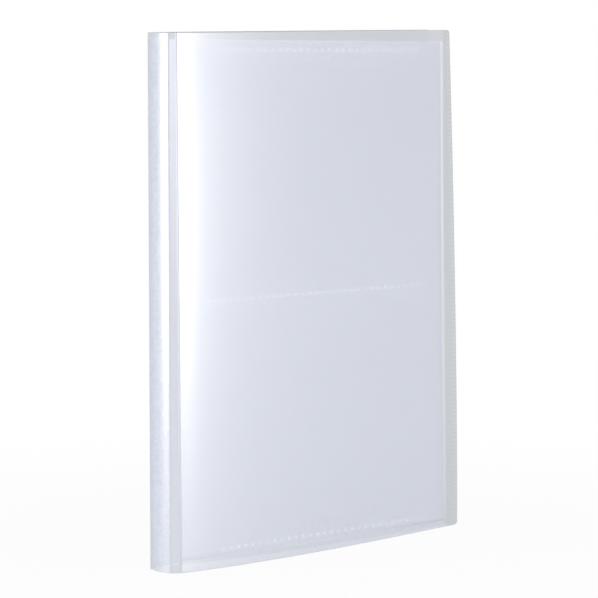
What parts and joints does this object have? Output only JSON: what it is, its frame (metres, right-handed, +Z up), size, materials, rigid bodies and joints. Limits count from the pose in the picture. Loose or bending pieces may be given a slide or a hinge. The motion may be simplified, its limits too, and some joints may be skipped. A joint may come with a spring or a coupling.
{
  "type": "postcard holder",
  "caption": "Closed upright postcard holder of frosted semi-clear plastic: creased wrap cover with a crowned spine, and turning film pages with welded pockets one above the other.",
  "frame": {"origin": "on the floor under the middle of the closed holder's box", "axes": "+Z up along the spine, +X from the spine to the fore-edge, -Y out of the front cover"},
  "size_m": [0.17, 0.0264, 0.222],
  "materials": {
    "cover_plastic": "frosted semi-clear polypropylene sheet, faintly blue-grey",
    "page_film": "clear polypropylene film with welded seams",
    "fused_film": "melted film ends, milky"
  },
  "bodies": {
    "spine_block": {"spine": "cover_plastic", "binding_strip": "fused_film"},
    "front_strip": {"front_hinge_strip": "cover_plastic"},
    "front_panel": {"front_cover": "cover_plastic"},
    "back_strip": {"back_hinge_strip": "cover_plastic"},
    "back_panel": {"back_cover": "cover_plastic"},
    "page_01": {"page_01_back_film": "page_film", "page_01_front_film": "page_film"},
    "page_02": {"page_02_back_film": "page_film", "page_02_front_film": "page_film"},
    "page_03": {"page_03_back_film": "page_film", "page_03_front_film": "page_film"},
    "page_04": {"page_04_back_film": "page_film", "page_04_front_film": "page_film"},
    "page_05": {"page_05_back_film": "page_film", "page_05_front_film": "page_film"},
    "page_06": {"page_06_back_film": "page_film", "page_06_front_film": "page_film"},
    "page_07": {"page_07_back_film": "page_film", "page_07_front_film": "page_film"},
    "page_08": {"page_08_back_film": "page_film", "page_08_front_film": "page_film"},
    "page_09": {"page_09_back_film": "page_film", "page_09_front_film": "page_film"},
    "page_10": {"page_10_back_film": "page_film", "page_10_front_film": "page_film"},
    "page_11": {"page_11_back_film": "page_film", "page_11_front_film": "page_film"},
    "page_12": {"page_12_back_film": "page_film", "page_12_front_film": "page_film"},
    "page_13": {"page_13_back_film": "page_film", "page_13_front_film": "page_film"},
    "page_14": {"page_14_back_film": "page_film", "page_14_front_film": "page_film"},
    "page_15": {"page_15_back_film": "page_film", "page_15_front_film": "page_film"},
    "page_16": {"page_16_back_film": "page_film", "page_16_front_film": "page_film"},
    "page_17": {"page_17_back_film": "page_film", "page_17_front_film": "page_film"},
    "page_18": {"page_18_back_film": "page_film", "page_18_front_film": "page_film"},
    "page_19": {"page_19_back_film": "page_film", "page_19_front_film": "page_film"},
    "page_20": {"page_20_back_film": "page_film", "page_20_front_film": "page_film"}
  },
  "joints": [
    {"name": "front_spine_crease", "type": "hinge", "parent": "spine_block", "child": "front_strip", "pos_m": [-0.08395, -0.00601, 0], "axis": [0, 0, -1], "range_deg": [0, 90]},
    {"name": "front_cover_crease", "type": "hinge", "parent": "front_strip", "child": "front_panel", "pos_m": [-0.08045, -0.00821, 0], "axis": [0, -0.0086, -1], "range_deg": [0, 90]},
    {"name": "back_spine_crease", "type": "hinge", "parent": "spine_block", "child": "back_strip", "pos_m": [-0.08395, 0.00719, 0], "axis": [0, 0, 1], "range_deg": [0, 90]},
    {"name": "back_cover_crease", "type": "hinge", "parent": "back_strip", "child": "back_panel", "pos_m": [-0.08045, 0.00839, 0], "axis": [0, 0, 1], "range_deg": [0, 90]},
    {"name": "page_01_turn", "type": "hinge", "parent": "spine_block", "child": "page_01", "pos_m": [-0.08145, -0.00406, 0], "axis": [0, 0, -1], "range_deg": [0, 81]},
    {"name": "page_02_turn", "type": "hinge", "parent": "spine_block", "child": "page_02", "pos_m": [-0.08145, -0.00357, 0], "axis": [0, 0, -1], "range_deg": [0, 72.9]},
    {"name": "page_03_turn", "type": "hinge", "parent": "spine_block", "child": "page_03", "pos_m": [-0.08145, -0.00308, 0], "axis": [0, 0, -1], "range_deg": [0, 64.8]},
    {"name": "page_04_turn", "type": "hinge", "parent": "spine_block", "child": "page_04", "pos_m": [-0.08145, -0.00259, 0], "axis": [0, 0, -1], "range_deg": [0, 56.7]},
    {"name": "page_05_turn", "type": "hinge", "parent": "spine_block", "child": "page_05", "pos_m": [-0.08145, -0.0021, 0], "axis": [0, 0, -1], "range_deg": [0, 48.6]},
    {"name": "page_06_turn", "type": "hinge", "parent": "spine_block", "child": "page_06", "pos_m": [-0.08145, -0.00161, 0], "axis": [0, 0, -1], "range_deg": [0, 40.5]},
    {"name": "page_07_turn", "type": "hinge", "parent": "spine_block", "child": "page_07", "pos_m": [-0.08145, -0.00112, 0], "axis": [0, 0, -1], "range_deg": [0, 32.4]},
    {"name": "page_08_turn", "type": "hinge", "parent": "spine_block", "child": "page_08", "pos_m": [-0.08145, -0.00063, 0], "axis": [0, 0, -1], "range_deg": [0, 24.3]},
    {"name": "page_09_turn", "type": "hinge", "parent": "spine_block", "child": "page_09", "pos_m": [-0.08145, -0.00014, 0], "axis": [0, 0, -1], "range_deg": [0, 16.2]},
    {"name": "page_10_turn", "type": "hinge", "parent": "spine_block", "child": "page_10", "pos_m": [-0.08145, 0.00035, 0], "axis": [0, 0, -1], "range_deg": [0, 8.1]},
    {"name": "page_11_turn", "type": "hinge", "parent": "spine_block", "child": "page_11", "pos_m": [-0.08145, 0.00084, 0], "axis": [0, 0, 1], "range_deg": [0, 8.1]},
    {"name": "page_12_turn", "type": "hinge", "parent": "spine_block", "child": "page_12", "pos_m": [-0.08145, 0.00133, 0], "axis": [0, 0, 1], "range_deg": [0, 16.2]},
    {"name": "page_13_turn", "type": "hinge", "parent": "spine_block", "child": "page_13", "pos_m": [-0.08145, 0.00182, 0], "axis": [0, 0, 1], "range_deg": [0, 24.3]},
    {"name": "page_14_turn", "type": "hinge", "parent": "spine_block", "child": "page_14", "pos_m": [-0.08145, 0.00231, 0], "axis": [0, 0, 1], "range_deg": [0, 32.4]},
    {"name": "page_15_turn", "type": "hinge", "parent": "spine_block", "child": "page_15", "pos_m": [-0.08145, 0.0028, 0], "axis": [0, 0, 1], "range_deg": [0, 40.5]},
    {"name": "page_16_turn", "type": "hinge", "parent": "spine_block", "child": "page_16", "pos_m": [-0.08145, 0.00329, 0], "axis": [0, 0, 1], "range_deg": [0, 48.6]},
    {"name": "page_17_turn", "type": "hinge", "parent": "spine_block", "child": "page_17", "pos_m": [-0.08145, 0.00378, 0], "axis": [0, 0, 1], "range_deg": [0, 56.7]},
    {"name": "page_18_turn", "type": "hinge", "parent": "spine_block", "child": "page_18", "pos_m": [-0.08145, 0.00427, 0], "axis": [0, 0, 1], "range_deg": [0, 64.8]},
    {"name": "page_19_turn", "type": "hinge", "parent": "spine_block", "child": "page_19", "pos_m": [-0.08145, 0.00476, 0], "axis": [0, 0, 1], "range_deg": [0, 72.9]},
    {"name": "page_20_turn", "type": "hinge", "parent": "spine_block", "child": "page_20", "pos_m": [-0.08145, 0.00525, 0], "axis": [0, 0, 1], "range_deg": [0, 81]}
  ],
  "couplings": [
    {"joint": "front_cover_crease", "follows": "front_spine_crease", "ratio": 1},
    {"joint": "back_cover_crease", "follows": "back_spine_crease", "ratio": 1},
    {"joint": "page_01_turn", "follows": "front_spine_crease", "ratio": 0.9},
    {"joint": "page_02_turn", "follows": "front_spine_crease", "ratio": 0.81},
    {"joint": "page_03_turn", "follows": "front_spine_crease", "ratio": 0.72},
    {"joint": "page_04_turn", "follows": "front_spine_crease", "ratio": 0.63},
    {"joint": "page_05_turn", "follows": "front_spine_crease", "ratio": 0.54},
    {"joint": "page_06_turn", "follows": "front_spine_crease", "ratio": 0.45},
    {"joint": "page_07_turn", "follows": "front_spine_crease", "ratio": 0.36},
    {"joint": "page_08_turn", "follows": "front_spine_crease", "ratio": 0.27},
    {"joint": "page_09_turn", "follows": "front_spine_crease", "ratio": 0.18},
    {"joint": "page_10_turn", "follows": "front_spine_crease", "ratio": 0.09},
    {"joint": "page_11_turn", "follows": "back_spine_crease", "ratio": 0.09},
    {"joint": "page_12_turn", "follows": "back_spine_crease", "ratio": 0.18},
    {"joint": "page_13_turn", "follows": "back_spine_crease", "ratio": 0.27},
    {"joint": "page_14_turn", "follows": "back_spine_crease", "ratio": 0.36},
    {"joint": "page_15_turn", "follows": "back_spine_crease", "ratio": 0.45},
    {"joint": "page_16_turn", "follows": "back_spine_crease", "ratio": 0.54},
    {"joint": "page_17_turn", "follows": "back_spine_crease", "ratio": 0.63},
    {"joint": "page_18_turn", "follows": "back_spine_crease", "ratio": 0.72},
    {"joint": "page_19_turn", "follows": "back_spine_crease", "ratio": 0.81},
    {"joint": "page_20_turn", "follows": "back_spine_crease", "ratio": 0.9}
  ]
}
